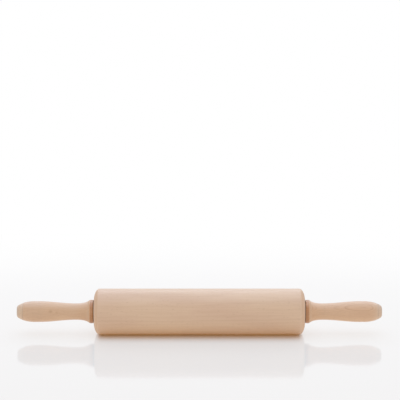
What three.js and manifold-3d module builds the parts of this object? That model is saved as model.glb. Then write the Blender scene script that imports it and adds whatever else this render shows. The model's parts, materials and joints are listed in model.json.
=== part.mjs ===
// Rolling pin in turned beech. A bored roller runs on two ball bearings round a steel axle, and a turned handle
// is pressed on each end of the axle, so the hands hold still while the roller turns.
// Millimetres, +Z up. X runs along the axle, and the origin is on the worktop under the middle of the roller.
import * as THREE from "three";
import { mergeVertices } from "three/addons/utils/BufferGeometryUtils.js";
import Module from "manifold-3d";

// Roller
const rollerLength = 252.6;
const rollerDiameter = 55;
const rollerEdgeReach = 7; // along the axle; the round ends leave no line in the dough
const rollerEdgeDepth = 14; // the same rounding, measured in from the outside
const mouthChamfer = 0.8; // at the mouth of each bearing seat

// Handles: each is measured from its face next to the roller, or from its outer end
const handleGap = 0.5; // from the end of the roller to the face of the handle
const handleLength = 91.7;
const rimDiameter = 28;
const rimWidth = 4.6;
const rimRound = 0.8; // rounding of both edges of the rim
const flareTurn = 78; // degrees of its ellipse that the flare runs through from the rim to the neck
const neckDiameter = 19.6;
const neckFromFace = 20.3;
const gripDiameter = 24.9;
const gripStraight = 4.8; // length of the stretch where the grip is widest
const gripFromEnd = 21; // from that stretch to the outer end
const endDiameter = 12.3; // outer end, before its edge is rounded
const endRound = 1.6; // how far from the end its rounding starts
const socketDepth = 50; // how far the axle goes into the handle
const socketChamfer = 0.6;

// Axle
const axleDiameter = 8;
const axleChamfer = 0.8;
const fluteCount = 12; // flutes that bite into the handle
const fluteDepth = 0.35;
const fluteLength = 36;

// Ball bearings: these add up to the common 8 x 22 x 7 size
const ballDiameter = 3.97;
const ballCount = 7;
const ringWall = 1.315; // behind each raceway
const ringChamfer = 0.4;
const raceDepth = 0.9; // from the shoulder of a ring to the bottom of its raceway
const cageThickness = 1.2;
const cageFloor = 0.5; // behind each pocket of the cage
const prongHeight = 1.1; // of the cage, past the middle of the balls
const prongSlot = 0.9; // between the two prongs of neighbouring pockets
const prongSlotDepth = 1.8;
const shieldThickness = 0.3;
const shieldInset = 0.215; // from the face of the bearing
const shieldSeatDepth = 0.8; // step round the shoulder of the outer ring that takes the shield
const bearingRecess = 1.8; // from the end of the roller to the face of the bearing

// Spacers and retaining rings
const spacerWall = 1.8;
const clipThickness = 0.8;
const clipWidth = 1.6;
const clipLug = 3.2; // height of the two lugs from the inside of the ring
const clipLugAngle = 28; // degrees that each lug takes up
const clipHole = 1.1; // in each lug, for the pliers
const clipOpening = 34; // degrees between the lugs
const clipGrooveDepth = 0.4;

// Clearances
const pressGap = 0.15; // radial, between pieces that are pressed together
const faceGap = 0.1; // between faces that meet along the axle
const runningGap = 0.2; // between pieces of a bearing that move past each other
const pocketGap = 0.3; // round each ball in the cage
const boreGap = 1.1; // from the lugs of the retaining ring to the bore of the roller
const socketEndGap = 0.5; // past the end of the axle

// How finely round shapes are divided
const rollerSides = 48;
const handleSides = 32;
const bearingSides = 28;
const axleSides = 24;
const clipBandSteps = 20;
const clipLugSteps = 3;
const clipHoleSteps = 4;
const ballDetail = 1;
const rimSteps = 3;
const cornerSteps = 2;
const edgeSteps = 5;
const raceSteps = 5;
const curveSteps = 7;

// Sizes that follow from the ones above
const rollerRadius = rollerDiameter / 2;
const axleRadius = axleDiameter / 2;
const ballRadius = ballDiameter / 2;
const raceRadius = ballRadius + runningGap;
const ringBore = axleRadius + pressGap;
const pitchRadius = axleRadius + ringWall + raceRadius;
const bearingRadius = pitchRadius + raceRadius + ringWall;
const innerShoulder = pitchRadius - raceRadius + raceDepth;
const outerShoulder = pitchRadius + raceRadius - raceDepth;
const shieldSeat = outerShoulder + shieldSeatDepth;
const pocketRadius = ballRadius + pocketGap;
const cageReach = pocketRadius + cageFloor;
const shieldInner = cageReach + runningGap;
const shieldOuter = shieldInner + shieldThickness;
const bearingHalf = shieldOuter + shieldInset;
const seatRadius = bearingRadius + pressGap;
const clipGrooveRadius = axleRadius - clipGrooveDepth;
const clipInner = clipGrooveRadius + pressGap;
const boreRadius = clipInner + clipLug + boreGap;

// Places along the axle on the right-hand side; the left-hand side is the same, turned round
const rollerEnd = rollerLength / 2;
const bearingFace = rollerEnd - bearingRecess;
const bearingMiddle = bearingFace - bearingHalf;
const bearingBack = bearingMiddle - bearingHalf;
const seatShoulder = bearingBack - faceGap;
const clipFace = bearingBack - faceGap;
const clipBack = clipFace - clipThickness;
const handleFace = rollerEnd + handleGap;
const axleEnd = handleFace + socketDepth;

const beechRoller = new THREE.MeshStandardMaterial({ color: 0xcfae92, roughness: 0.55, metalness: 0 });
const beechHandle = new THREE.MeshStandardMaterial({ color: 0xc9a486, roughness: 0.5, metalness: 0 });
const axleSteel = new THREE.MeshStandardMaterial({ color: 0xb8babd, roughness: 0.35, metalness: 1 });
const bearingSteel = new THREE.MeshStandardMaterial({ color: 0xc4c6c9, roughness: 0.2, metalness: 1 });
const ballSteel = new THREE.MeshStandardMaterial({ color: 0xd2d4d6, roughness: 0.08, metalness: 1 });
const shieldSteel = new THREE.MeshStandardMaterial({ color: 0xadb0b3, roughness: 0.3, metalness: 1 });
const cageNylon = new THREE.MeshStandardMaterial({ color: 0xe6e0d2, roughness: 0.6, metalness: 0 });
const clipSteel = new THREE.MeshStandardMaterial({ color: 0x4a4b4e, roughness: 0.45, metalness: 1 });

const weldDistance = 1e-4;
const wasm = await Module();
wasm.setup();

// A solid for cutting and joining, from a closed geometry.
function solid(geometry) {
  const bare = geometry.index ? geometry.toNonIndexed() : geometry.clone();
  bare.deleteAttribute("normal");
  bare.deleteAttribute("uv");
  const merged = mergeVertices(bare, weldDistance);
  const mesh = new wasm.Mesh({
    numProp: 3,
    vertProperties: merged.attributes.position.array,
    triVerts: new Uint32Array(merged.index.array),
  });
  return new wasm.Manifold(mesh);
}

function geometryOf(body) {
  const mesh = body.getMesh();
  const geometry = new THREE.BufferGeometry();
  geometry.setAttribute("position", new THREE.BufferAttribute(mesh.vertProperties, mesh.numProp));
  geometry.setIndex(new THREE.BufferAttribute(mesh.triVerts, 1));
  return geometry;
}

// A turned solid about X. The profile holds [radius, distance along the axle] points. The flats of its many
// sides lie on the true circles, and one of them faces straight down.
function turned(profile, sides) {
  const toCorner = 1 / Math.cos(Math.PI / sides);
  const points = profile.map(([radius, along]) => new THREE.Vector2(radius * toCorner, along));
  return new THREE.LatheGeometry(points, sides, Math.PI / sides).rotateZ(-Math.PI / 2);
}

// Points of an ellipse arc in a profile. Angles are in degrees from the outward radius towards +X.
function arc([radius, along], [semiRadius, semiAlong], from, to, steps) {
  const points = [];
  for (let i = 0; i <= steps; i += 1) {
    const angle = THREE.MathUtils.degToRad(from + ((to - from) * i) / steps);
    points.push([radius + semiRadius * Math.cos(angle), along + semiAlong * Math.sin(angle)]);
  }
  return points;
}

// Points of a curve that rounds a corner of a profile. It leaves and arrives along the corner's two sides.
function soften(from, corner, to) {
  const [start, bend, end] = [from, corner, to].map(([radius, along]) => new THREE.Vector2(radius, along));
  const curve = new THREE.QuadraticBezierCurve(start, bend, end);
  return curve.getPoints(cornerSteps).map((point) => point.toArray());
}

// The closed profile of a flat ring.
function washer(inner, outer, start, end) {
  return [
    [inner, end],
    [inner, start],
    [outer, start],
    [outer, end],
    [inner, end],
  ];
}

function piece(name, geometry, material) {
  const mesh = new THREE.Mesh(geometry, material);
  mesh.name = name;
  return mesh;
}

// The roller is a barrel with round ends, a bore that clears the axle, and a bearing seat in each end.
function roller() {
  const edgeCentre = rollerRadius - rollerEdgeDepth;
  const edgeStart = rollerEnd - rollerEdgeReach;
  const edge = [rollerEdgeDepth, rollerEdgeReach];
  const profile = [
    [boreRadius, seatShoulder],
    [boreRadius, -seatShoulder],
    [seatRadius, -seatShoulder],
    [seatRadius, mouthChamfer - rollerEnd],
    [seatRadius + mouthChamfer, -rollerEnd],
    ...arc([edgeCentre, -edgeStart], edge, -90, 0, edgeSteps),
    ...arc([edgeCentre, edgeStart], edge, 0, 90, edgeSteps),
    [seatRadius + mouthChamfer, rollerEnd],
    [seatRadius, rollerEnd - mouthChamfer],
    [seatRadius, seatShoulder],
    [boreRadius, seatShoulder],
  ];
  return turned(profile, rollerSides);
}

// The handle's outline runs from its face: the rim, a flare that is a piece of an ellipse and levels out at the
// neck, a swelling curve from the neck to the straight of the grip, and another piece of an ellipse from there to
// the flat end.
function handle() {
  const rimRadius = rimDiameter / 2;
  const neckRadius = neckDiameter / 2;
  const gripRadius = gripDiameter / 2;
  const endRadius = endDiameter / 2;
  const socketRadius = axleRadius + pressGap;
  const socketEnd = socketDepth + socketEndGap;

  const flareAngle = THREE.MathUtils.degToRad(flareTurn);
  const flareDepth = (rimRadius - neckRadius) / (1 - Math.cos(flareAngle));
  const flareReach = (neckFromFace - rimWidth) / Math.sin(flareAngle);
  const flareCentre = [neckRadius + flareDepth, neckFromFace];
  const flare = arc(flareCentre, [flareDepth, flareReach], 180 + flareTurn, 180, curveSteps);
  const [rimEdge, flareStart, ...flareRest] = flare;
  const rimFace = arc([rimRadius - rimRound, rimRound], [rimRound, rimRound], -90, 0, rimSteps);
  const rimBack = soften([rimRadius, rimWidth - rimRound], rimEdge, flareStart);

  const gripEnd = handleLength - gripFromEnd;
  const gripStart = gripEnd - gripStraight;
  const swell = [];
  for (let i = 1; i <= curveSteps; i += 1) {
    const share = i / curveSteps;
    const rise = (1 - Math.cos(Math.PI * share)) / 2;
    swell.push([
      THREE.MathUtils.lerp(neckRadius, gripRadius, rise),
      THREE.MathUtils.lerp(neckFromFace, gripStart, share),
    ]);
  }

  const domeReach = gripFromEnd / Math.sin(Math.acos(endRadius / gripRadius));
  const domeAngle = Math.asin((gripFromEnd - endRound) / domeReach);
  const domeDegrees = THREE.MathUtils.radToDeg(domeAngle);
  const dome = arc([0, gripEnd], [gripRadius, domeReach], 0, domeDegrees, curveSteps);
  const domeEnd = dome.pop();
  const fall = (endRound * gripRadius * Math.tan(domeAngle)) / domeReach;
  const endCorner = [domeEnd[0] - fall, handleLength];
  const endFlat = [endCorner[0] - Math.hypot(endRound, fall), handleLength];

  const profile = [
    [0, socketEnd],
    [socketRadius, socketEnd],
    [socketRadius, socketChamfer],
    [socketRadius + socketChamfer, 0],
    ...rimFace,
    ...rimBack,
    ...flareRest,
    ...swell,
    ...dome,
    ...soften(domeEnd, endCorner, endFlat),
    [0, handleLength],
  ];
  return turned(profile, handleSides);
}

// The axle is a plain rod with a groove for each retaining ring and a fluted stretch at each end.
function axle() {
  const fluteStart = axleEnd - fluteLength;
  const grooveEnd = clipFace + faceGap;
  const grooveStart = clipBack - faceGap;
  const half = [
    [clipGrooveRadius, grooveStart],
    [clipGrooveRadius, grooveEnd],
    [axleRadius, grooveEnd],
    [axleRadius, fluteStart],
    [axleRadius - fluteDepth, fluteStart],
    [axleRadius - fluteDepth, axleEnd - axleChamfer],
    [axleRadius - fluteDepth - axleChamfer, axleEnd],
    [0, axleEnd],
  ];
  const profile = [[axleRadius, grooveStart], ...half];
  const mirrored = profile.map(([radius, along]) => [radius, -along]).reverse();
  let rod = solid(turned([...mirrored, ...profile], axleSides));

  const section = new THREE.Shape();
  for (let i = 0; i < 2 * fluteCount; i += 1) {
    const radius = i % 2 ? axleRadius - fluteDepth : axleRadius;
    const angle = (Math.PI * i) / fluteCount;
    const y = radius * Math.cos(angle);
    const z = radius * Math.sin(angle);
    if (i === 0) section.moveTo(y, z);
    else section.lineTo(y, z);
  }
  section.closePath();
  const depth = fluteLength - axleChamfer;
  const fluted = new THREE.ExtrudeGeometry(section, { depth, bevelEnabled: false }).rotateY(Math.PI / 2);
  rod = rod.add(solid(fluted.clone().translate(fluteStart, 0, 0)));
  rod = rod.add(solid(fluted.translate(axleChamfer - axleEnd, 0, 0)));
  return geometryOf(rod);
}

// Both rings of a bearing share one raceway circle, drawn round the middle of the balls.
function outerRing() {
  const reach = THREE.MathUtils.radToDeg(Math.acos((outerShoulder - pitchRadius) / raceRadius));
  const profile = [
    [bearingRadius - ringChamfer, -bearingHalf],
    [bearingRadius, ringChamfer - bearingHalf],
    [bearingRadius, bearingHalf - ringChamfer],
    [bearingRadius - ringChamfer, bearingHalf],
    [shieldSeat, bearingHalf],
    [shieldSeat, shieldInner],
    [outerShoulder, shieldInner],
    ...arc([pitchRadius, 0], [raceRadius, raceRadius], reach, -reach, raceSteps),
    [outerShoulder, -shieldInner],
    [shieldSeat, -shieldInner],
    [shieldSeat, -bearingHalf],
    [bearingRadius - ringChamfer, -bearingHalf],
  ];
  return turned(profile, bearingSides);
}

function innerRing() {
  const reach = THREE.MathUtils.radToDeg(Math.acos((pitchRadius - innerShoulder) / raceRadius));
  const profile = [
    [ringBore + ringChamfer, bearingHalf],
    [ringBore, bearingHalf - ringChamfer],
    [ringBore, ringChamfer - bearingHalf],
    [ringBore + ringChamfer, -bearingHalf],
    [innerShoulder, -bearingHalf],
    ...arc([pitchRadius, 0], [raceRadius, raceRadius], 180 + reach, 180 - reach, raceSteps),
    [innerShoulder, bearingHalf],
    [ringBore + ringChamfer, bearingHalf],
  ];
  return turned(profile, bearingSides);
}

// A shield sits in the outer ring and stops just short of the inner ring. It is drawn for the face towards +X.
function shield() {
  const hole = innerShoulder + runningGap;
  const rim = shieldSeat - pressGap;
  return turned(washer(hole, rim, shieldInner + faceGap, shieldOuter + faceGap), bearingSides);
}

function ballShape() {
  return new THREE.IcosahedronGeometry(ballRadius, ballDetail);
}

function ballPlace(index) {
  const angle = (2 * Math.PI * index) / ballCount;
  return new THREE.Vector3(0, pitchRadius * Math.sin(angle), pitchRadius * Math.cos(angle));
}

// The crown cage is a ring with a round pocket for each ball. The pockets open on one side, and a slot between
// each two leaves the pair of springy prongs that the balls snap past.
function cage() {
  const inner = pitchRadius - cageThickness / 2;
  const outer = pitchRadius + cageThickness / 2;
  let crown = solid(turned(washer(inner, outer, -cageReach, prongHeight), bearingSides));
  const pocket = new THREE.IcosahedronGeometry(pocketRadius, ballDetail);
  const slot = new THREE.BoxGeometry(2 * prongSlotDepth, prongSlot, 2 * cageThickness);
  slot.translate(prongHeight, 0, pitchRadius);
  for (let i = 0; i < ballCount; i += 1) {
    const place = ballPlace(i);
    crown = crown.subtract(solid(pocket.clone().translate(place.x, place.y, place.z)));
    const between = (2 * Math.PI * (i + 0.5)) / ballCount;
    crown = crown.subtract(solid(slot.clone().rotateX(-between)));
  }
  return geometryOf(crown);
}

function spacer() {
  const hole = axleRadius + pressGap;
  const profile = washer(hole, hole + spacerWall, bearingFace + faceGap, handleFace - faceGap);
  return turned(profile, axleSides);
}

// Points of a circle arc in the outline of a flat piece, with angles in radians.
function bow(radius, from, to, steps) {
  const points = [];
  for (let i = 0; i <= steps; i += 1) {
    const angle = THREE.MathUtils.lerp(from, to, i / steps);
    points.push(new THREE.Vector2(radius * Math.cos(angle), radius * Math.sin(angle)));
  }
  return points;
}

// A retaining ring: an open ring with a drilled lug on each side of its opening, which faces up.
function retainingRing() {
  const lugRadius = clipInner + clipLug;
  const bandRadius = clipInner + clipWidth;
  const lugAngle = THREE.MathUtils.degToRad(clipLugAngle);
  const lugStart = Math.PI + THREE.MathUtils.degToRad(clipOpening / 2);
  const lugEnd = lugStart + lugAngle;
  const farStart = 4 * Math.PI - lugEnd;
  const farEnd = 4 * Math.PI - lugStart;
  const outline = new THREE.Shape([
    ...bow(lugRadius, lugStart, lugEnd, clipLugSteps),
    ...bow(bandRadius, lugEnd, farStart, clipBandSteps),
    ...bow(lugRadius, farStart, farEnd, clipLugSteps),
    ...bow(clipInner, farEnd, lugStart, clipBandSteps),
  ]);
  const holeRadius = (bandRadius + lugRadius) / 2;
  for (const angle of [lugStart + lugAngle / 2, farEnd - lugAngle / 2]) {
    const hole = new THREE.Path();
    const [y, z] = [holeRadius * Math.cos(angle), holeRadius * Math.sin(angle)];
    hole.absarc(y, z, clipHole / 2, 0, 2 * Math.PI, true);
    outline.holes.push(hole);
  }
  const plate = { depth: clipThickness, bevelEnabled: false, curveSegments: clipHoleSteps };
  return new THREE.ExtrudeGeometry(outline, plate).rotateY(Math.PI / 2).translate(clipBack, 0, 0);
}

// Everything that the pin has on one side of its middle, drawn for the right-hand side.
function sideAssembly(side) {
  const group = new THREE.Group();
  group.add(piece(`${side}_handle`, handle().translate(handleFace, 0, 0), beechHandle));
  group.add(piece(`${side}_spacer`, spacer(), axleSteel));
  group.add(piece(`${side}_retaining_ring`, retainingRing(), clipSteel));

  const bearing = new THREE.Group();
  bearing.position.x = bearingMiddle;
  bearing.add(piece(`${side}_bearing_outer_ring`, outerRing(), bearingSteel));
  bearing.add(piece(`${side}_bearing_inner_ring`, innerRing(), bearingSteel));
  bearing.add(piece(`${side}_bearing_outer_shield`, shield(), shieldSteel));
  bearing.add(piece(`${side}_bearing_inner_shield`, shield().rotateZ(Math.PI), shieldSteel));
  bearing.add(piece(`${side}_bearing_cage`, cage(), cageNylon));
  for (let i = 0; i < ballCount; i += 1) {
    const ball = piece(`${side}_bearing_ball_${i + 1}`, ballShape(), ballSteel);
    ball.position.copy(ballPlace(i));
    bearing.add(ball);
  }
  group.add(bearing);
  return group;
}

const rollingPin = new THREE.Group();
rollingPin.name = "rolling_pin";
const assembly = new THREE.Group();
assembly.position.z = rollerRadius;
assembly.add(piece("roller", roller(), beechRoller));
assembly.add(piece("axle", axle(), axleSteel));
assembly.add(sideAssembly("right"));
const leftSide = sideAssembly("left");
leftSide.rotation.z = Math.PI;
assembly.add(leftSide);
rollingPin.add(assembly);

export default rollingPin;
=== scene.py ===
# %% [markdown]
# # A beech rolling pin
# The pin is a turned barrel that runs on two ball bearings round a steel axle, with a turned handle pressed
# on each end of the axle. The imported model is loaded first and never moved: it says where every piece is,
# so each smooth piece below is drawn straight at its own place, in metres, with X along the axle and Z up.

# %% Load the frame
import json
import math
import bpy
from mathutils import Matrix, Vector

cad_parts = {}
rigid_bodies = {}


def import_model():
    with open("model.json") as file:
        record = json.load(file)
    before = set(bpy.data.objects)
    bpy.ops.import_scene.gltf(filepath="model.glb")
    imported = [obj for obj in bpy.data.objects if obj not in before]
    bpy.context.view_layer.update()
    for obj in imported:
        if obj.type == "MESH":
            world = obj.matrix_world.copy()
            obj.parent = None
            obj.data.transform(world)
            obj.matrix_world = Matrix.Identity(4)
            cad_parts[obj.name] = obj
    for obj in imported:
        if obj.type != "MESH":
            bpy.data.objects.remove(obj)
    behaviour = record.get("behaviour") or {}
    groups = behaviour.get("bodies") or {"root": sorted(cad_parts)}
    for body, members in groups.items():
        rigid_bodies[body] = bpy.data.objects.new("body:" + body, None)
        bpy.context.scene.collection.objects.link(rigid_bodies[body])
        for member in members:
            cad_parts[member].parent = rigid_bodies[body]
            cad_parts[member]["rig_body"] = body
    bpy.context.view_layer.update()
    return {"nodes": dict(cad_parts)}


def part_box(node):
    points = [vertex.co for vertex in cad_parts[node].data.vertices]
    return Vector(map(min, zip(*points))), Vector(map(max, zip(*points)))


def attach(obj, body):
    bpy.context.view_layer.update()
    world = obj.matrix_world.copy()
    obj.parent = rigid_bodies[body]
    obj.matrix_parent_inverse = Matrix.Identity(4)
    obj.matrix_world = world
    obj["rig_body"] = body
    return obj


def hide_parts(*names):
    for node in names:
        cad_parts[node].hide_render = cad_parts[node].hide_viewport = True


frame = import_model()

MM = 0.001
roller_low, roller_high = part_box("roller")
axle_height = (roller_low.z + roller_high.z) / 2
pin_middle = Vector((0, 0, axle_height))
print("pieces in the frame:", len(frame["nodes"]), "axle height in mm:", round(axle_height / MM, 2))

# %% [markdown]
# ## Camera
# The pin was photographed from far away with a long lens, from a little above. The lens could be fitted by
# eye, but it is surer to work it out: how large and how far below the middle of the picture the pin shows
# gives both the focal length and how far above the pin the camera aims.

# %% Camera
PHOTO_SIDE = 400  # pixels
PIN_MIDDLE = (199.4, 311.55)  # pixels, from the top left corner of the picture
PIXELS_PER_METRE = 835  # at the pin
CAMERA_DISTANCE = 2.9
CAMERA_ELEVATION = math.radians(16.6)
SENSOR_WIDTH = 36

aim_above_pin = math.asin((PIN_MIDDLE[1] - PHOTO_SIDE / 2) / (PIXELS_PER_METRE * CAMERA_DISTANCE))
focal_pixels = PIXELS_PER_METRE * CAMERA_DISTANCE * math.cos(aim_above_pin)
aim_sideways = (PHOTO_SIDE / 2 - PIN_MIDDLE[0]) / PIXELS_PER_METRE

bpy.ops.object.camera_add(
    location=(
        aim_sideways,
        -CAMERA_DISTANCE * math.cos(CAMERA_ELEVATION),
        axle_height + CAMERA_DISTANCE * math.sin(CAMERA_ELEVATION),
    ),
    rotation=(math.pi / 2 - CAMERA_ELEVATION + aim_above_pin, 0, 0),
)
camera = bpy.context.object
camera.data.sensor_width = SENSOR_WIDTH
camera.data.lens = focal_pixels * SENSOR_WIDTH / PHOTO_SIDE
bpy.context.scene.camera = camera
bpy.context.scene.view_settings.view_transform = "Standard"
print("focal length in mm:", round(camera.data.lens, 1))

# %% [markdown]
# ## Helpers for materials
# Every finish here is a small net of nodes. Writing each link by hand hides what the net does, so these
# helpers let a material be read as sums: a value goes in, either a number or another node's output, and an
# output comes back. A shared effect becomes a node group with named inputs and outputs.


# %% Nodes and links
def add_node(tree, kind, **settings):
    node = tree.nodes.new("ShaderNode" + kind)
    for name, value in settings.items():
        setattr(node, name, value)
    return node


def feed(tree, socket, value):
    """Links another node's output to a socket, or sets a plain value on it."""
    if isinstance(value, bpy.types.NodeSocket):
        tree.links.new(value, socket)
    else:
        socket.default_value = value


def feed_inputs(tree, node, **values):
    """Feeds each value to the node's input of that name, with _ for a space."""
    for label, value in values.items():
        feed(tree, node.inputs[label.replace("_", " ")], value)


print("helpers for nodes and links ready")


# %% Sums
def calculate(tree, operation, *values):
    node = add_node(tree, "Math", operation=operation)
    for socket, value in zip(node.inputs, values):
        feed(tree, socket, value)
    return node.outputs[0]


def times(tree, first, second):
    return calculate(tree, "MULTIPLY", first, second)


def plus(tree, first, second):
    return calculate(tree, "ADD", first, second)


def calculate_vector(tree, operation, *values, output="Vector"):
    node = add_node(tree, "VectorMath", operation=operation)
    for socket, value in zip(node.inputs, values):
        feed(tree, socket, value)
    return node.outputs[output]


def length_of(tree, vector):
    return calculate_vector(tree, "LENGTH", vector, output="Value")


def scaled(tree, vector, factor):
    node = add_node(tree, "VectorMath", operation="SCALE")
    feed_inputs(tree, node, Vector=vector, Scale=factor)
    return node.outputs["Vector"]


print("helpers for sums ready")

# %% Steps, mixtures and clouds
PLAIN_DETAIL = 2
FINE_DETAIL = 3


def ease(tree, value, start, end):
    """A soft step from 0 at start to 1 at end."""
    node = add_node(tree, "MapRange", interpolation_type="SMOOTHSTEP")
    feed_inputs(tree, node, Value=value, From_Min=start, From_Max=end)
    return node.outputs["Result"]


def spread(tree, value, low, high):
    """Stretches a value that runs from 0 to 1 to run from low to high."""
    node = add_node(tree, "MapRange")
    feed_inputs(tree, node, Value=value, To_Min=low, To_Max=high)
    return node.outputs["Result"]


def mix_colours(tree, share, first, second, how="MIX"):
    node = add_node(tree, "Mix", data_type="RGBA", blend_type=how)
    feed_inputs(tree, node, Factor=share, A=first, B=second)
    return node.outputs["Result"]


def cloud(tree, place, detail=PLAIN_DETAIL, output="Fac"):
    node = add_node(tree, "TexNoise")
    feed_inputs(tree, node, Vector=place, Scale=1, Detail=detail)
    return node.outputs[output]


print("helpers for steps, mixtures and clouds ready")


# %% Groups and materials
def new_group(name, inputs, outputs):
    tree = bpy.data.node_groups.new(name, "ShaderNodeTree")
    for side, sockets in (("INPUT", inputs), ("OUTPUT", outputs)):
        for label, kind in sockets.items():
            tree.interface.new_socket(label, in_out=side, socket_type="NodeSocket" + kind)
    start = tree.nodes.new("NodeGroupInput")
    end = tree.nodes.new("NodeGroupOutput")
    return tree, start.outputs, end.inputs


def use_group(tree, group, **values):
    node = add_node(tree, "Group", node_tree=group)
    feed_inputs(tree, node, **values)
    return node.outputs


def new_material(name):
    material = bpy.data.materials.new(name)
    material.use_nodes = True
    tree = material.node_tree
    return material, tree, tree.nodes["Principled BSDF"]


def place_in_mm(tree):
    """The piece's own coordinates, in millimetres."""
    place = add_node(tree, "TexCoord").outputs["Object"]
    return scaled(tree, place, 1 / MM)


def raise_surface(tree, shader, height, strength, depth):
    """Gives a surface the relief of a height that runs from 0 to 1, for a depth in metres."""
    bump = add_node(tree, "Bump")
    feed_inputs(tree, bump, Strength=strength, Distance=depth, Height=height)
    feed_inputs(tree, shader, Normal=bump.outputs["Normal"])


print("helpers for groups and materials ready")

# %% [markdown]
# ## Floor
# The pin lies on a glossy white sheet that fades into pure white behind it. Such a sheet is translucent:
# light that falls beside the pin spreads inside it and comes out again, so shadows on it are faint, except
# close to the line where the roller lies. True scattering is slow to render, so a part of the sheet's white
# is its own glow. Along that line the glow that the camera sees is turned dark and warm, a painted shadow,
# and the glow that lights the wood there is dim and warm, a painted shade under the roller with painted
# bounce light from the wood. There the sheet is also plain white paint, which takes the pin's real shadow
# and throws the warm light back and forth with the wood. The gloss mirrors the pin. It is a little warm,
# and the glow a little cool, so that the sheet is white and the wood's mirror image in it is grey.

# %% Floor
FLOOR_SIZE = 30
FLOOR_COLOUR = (0.3, 0.297, 0.291, 1)
FLOOR_ROUGHNESS = 0.07
FLOOR_GLOSS_TINT = (2.6, 1.15, 0.45, 1)
FLOOR_GLOW = (0.42, 0.458, 0.477, 1)  # what the camera sees
FLOOR_LIGHT = (0.82, 0.805, 0.76, 1)  # what lights other surfaces
CONTACT_COLOUR = (0.75, 0.745, 0.75, 1)
# painted shadow: the dark, warm glow that the camera sees along the line where the roller lies
CONTACT_PAINTED_SHADOW = (0.042, 0.03, 0.01, 1)
# painted shade and painted bounce light: the dim, warm glow that lights the wood along that line
CONTACT_PAINTED_BOUNCE = (0.29, 0.165, 0.005, 1)
CONTACT_FULL = 0.008  # to each side of the line where the roller lies
CONTACT_REACH = 0.042
LIGHT_REACH = 0.06
CONTACT_HALF = (0.117, 0, 0)  # of that line, from its middle
CONTACT_SHAPE = (5, 1, 1)  # the reach past the ends of the line is this much shorter
WHITE = (1, 1, 1, 1)


def seen_rays(tree):
    """1 for what the camera sees, straight or mirrored, and 0 for light on its way to other surfaces."""
    rays = add_node(tree, "LightPath").outputs
    seen = calculate(tree, "MAXIMUM", rays["Is Camera Ray"], rays["Is Glossy Ray"])
    return calculate(tree, "MAXIMUM", seen, rays["Is Transmission Ray"])


bpy.ops.mesh.primitive_plane_add(size=FLOOR_SIZE)
floor = bpy.context.object
floor.name = "floor"

floor_material, tree, shader = new_material("glossy_white_sheet")
spot = add_node(tree, "TexCoord").outputs["Object"]
beside = calculate_vector(tree, "SUBTRACT", calculate_vector(tree, "ABSOLUTE", spot), CONTACT_HALF)
beside = calculate_vector(tree, "MAXIMUM", beside, (0, 0, 0))
away = length_of(tree, calculate_vector(tree, "MULTIPLY", beside, CONTACT_SHAPE))
contact = ease(tree, away, CONTACT_REACH, CONTACT_FULL)
glow = mix_colours(tree, contact, FLOOR_GLOW, CONTACT_PAINTED_SHADOW)
light = mix_colours(tree, ease(tree, away, LIGHT_REACH, CONTACT_FULL), FLOOR_LIGHT, CONTACT_PAINTED_BOUNCE)
feed_inputs(
    tree,
    shader,
    Base_Color=mix_colours(tree, contact, FLOOR_COLOUR, CONTACT_COLOUR),
    Emission_Color=mix_colours(tree, seen_rays(tree), light, glow),
    Emission_Strength=1,
    Roughness=FLOOR_ROUGHNESS,
    Specular_Tint=FLOOR_GLOSS_TINT,
)
floor.data.materials.append(floor_material)
print("floor side in metres:", FLOOR_SIZE)

# %% [markdown]
# ## Backdrop and light
# Behind and before the pin the sheet runs out into plain white. For rays that the eye follows, straight
# from the camera or by way of a gloss, the sheet therefore turns to white past a soft oval, and the room
# round it is white too. The light itself is that white room with two large, slightly cool lamps, one
# overhead and one behind the pin, at a level where a colour shows about as it is written.

# %% Fade of the floor
FADE_MIDDLE = (0, 0.2, 0)  # added to a place on the floor, so the oval lies in front of the pin
FADE_SHAPE = (0.5, 1, 1)
FADE_START = 0.36
FADE_END = 0.66


def blend_shaders(tree, share, first, second, end):
    node = add_node(tree, "MixShader")
    feed(tree, node.inputs[0], share)
    feed(tree, node.inputs[1], first.outputs[0])
    feed(tree, node.inputs[2], second.outputs[0])
    feed(tree, tree.nodes[end].inputs["Surface"], node.outputs[0])


spot = calculate_vector(tree, "MULTIPLY", calculate_vector(tree, "ADD", spot, FADE_MIDDLE), FADE_SHAPE)
fade = times(tree, ease(tree, length_of(tree, spot), FADE_START, FADE_END), seen_rays(tree))
white_light = add_node(tree, "Emission")
feed_inputs(tree, white_light, Color=WHITE, Strength=1)
blend_shaders(tree, fade, shader, white_light, "Material Output")
print("floor turns white from", FADE_START, "to", FADE_END, "metres")

# %% World
ROOM_LIGHT = 0.78

world = bpy.data.worlds.new("white_room")
bpy.context.scene.world = world
world.use_nodes = True
tree = world.node_tree
room = tree.nodes["Background"]
feed_inputs(tree, room, Color=WHITE, Strength=ROOM_LIGHT)
backdrop = add_node(tree, "Background")
feed_inputs(tree, backdrop, Color=WHITE, Strength=1)
blend_shaders(tree, seen_rays(tree), room, backdrop, "World Output")
print("room light:", ROOM_LIGHT)

# %% Lamps
LAMP_COLOUR = (0.88, 0.98, 1.17)
OVERHEAD_PLACE = (0, 0.1, 1.7)
OVERHEAD_SIZE = (2.4, 1.6)
OVERHEAD_WATTS = 10.4
BACK_PLACE = (0, 1.4, 1.3)
BACK_SIZE = (2.6, 0.8)
BACK_WATTS = 9


def soft_lamp(name, place, size, watts):
    """A large lamp that points at the middle of the pin."""
    bpy.ops.object.light_add(type="AREA", location=place)
    lamp = bpy.context.object
    lamp.name = name
    lamp.rotation_euler = (pin_middle - Vector(place)).to_track_quat("-Z", "Y").to_euler()
    lamp.data.shape = "RECTANGLE"
    lamp.data.size, lamp.data.size_y = size
    lamp.data.energy = watts
    lamp.data.color = LAMP_COLOUR


soft_lamp("overhead_lamp", OVERHEAD_PLACE, OVERHEAD_SIZE, OVERHEAD_WATTS)
soft_lamp("back_lamp", BACK_PLACE, BACK_SIZE, BACK_WATTS)

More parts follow.
